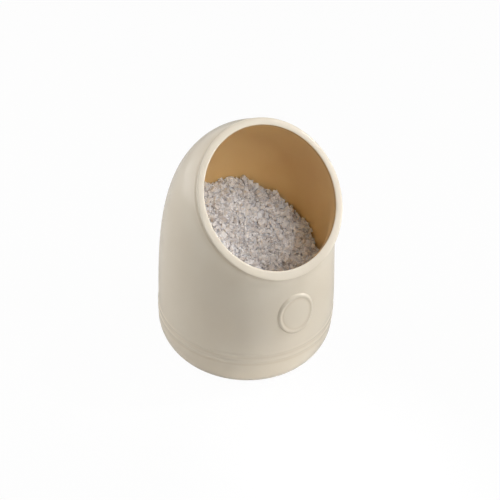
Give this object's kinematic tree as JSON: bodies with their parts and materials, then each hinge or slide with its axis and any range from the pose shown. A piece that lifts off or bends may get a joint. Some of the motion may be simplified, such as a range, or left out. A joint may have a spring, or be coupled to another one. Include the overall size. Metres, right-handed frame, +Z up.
{
  "type": "salt pig",
  "caption": "Round glazed stoneware salt jar whose wall leans over into a hood with a wide tilted mouth, with a rolled lip, raised rings near the foot and a heap of coarse salt inside.",
  "frame": {"origin": "centre of the foot, on the table that the jar stands on", "axes": "+Z up, the tilted mouth and the medallion face -Y, +X to the right when looking along +Y"},
  "size_m": [0.103, 0.103, 0.1395],
  "materials": {
    "cream_glaze": "glossy cream glaze with a soft orange-peel surface",
    "ochre_glaze": "satin ochre glaze",
    "bare_stoneware": "dry unglazed clay",
    "coarse_salt": "greyish white crystals"
  },
  "bodies": {
    "root": {"hooded_body": "cream_glaze", "rolled_lip": "cream_glaze", "base_beads": "cream_glaze", "front_medallion": "cream_glaze", "foot_ring": "bare_stoneware", "inner_glaze": "ochre_glaze", "salt_fill": "coarse_salt", "salt_crystals": "coarse_salt"}
  },
  "joints": []
}
